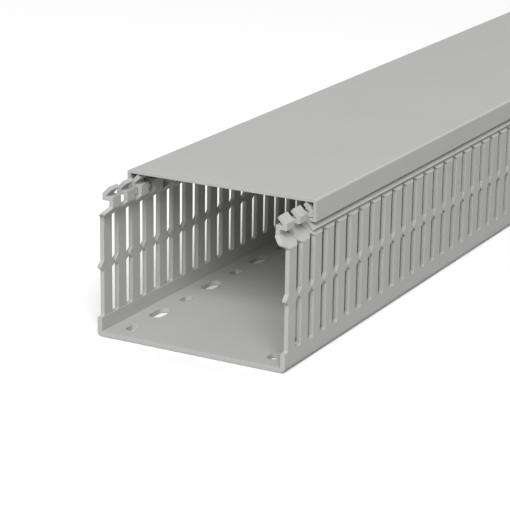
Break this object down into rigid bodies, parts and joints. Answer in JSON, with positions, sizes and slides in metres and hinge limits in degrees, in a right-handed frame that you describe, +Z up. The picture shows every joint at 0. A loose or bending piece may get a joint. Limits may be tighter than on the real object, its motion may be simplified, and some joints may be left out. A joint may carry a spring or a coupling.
{
  "type": "slotted wire duct",
  "caption": "Open cable duct with two walls of slotted fingers, elongated fixing holes in the base and a clip-on sliding cover drawn back from one end.",
  "frame": {"origin": "middle of the underside of the base, halfway along the duct", "axes": "+Y along the duct away from the end where the cover is drawn back, +X across the width, +Z up out of the open side"},
  "size_m": [0.1006, 1.0275, 0.075],
  "materials": {
    "duct_plastic": "matt stone-grey rigid PVC",
    "cover_plastic": "matt stone-grey rigid PVC, slightly smoother"
  },
  "bodies": {
    "duct": {"duct_body": "duct_plastic"},
    "cover": {"cover": "cover_plastic"}
  },
  "joints": [
    {"name": "cover_slide", "type": "slide", "parent": "duct", "child": "cover", "axis": [0, 1, 0], "range_m": [-0.0275, 0.9725]}
  ]
}
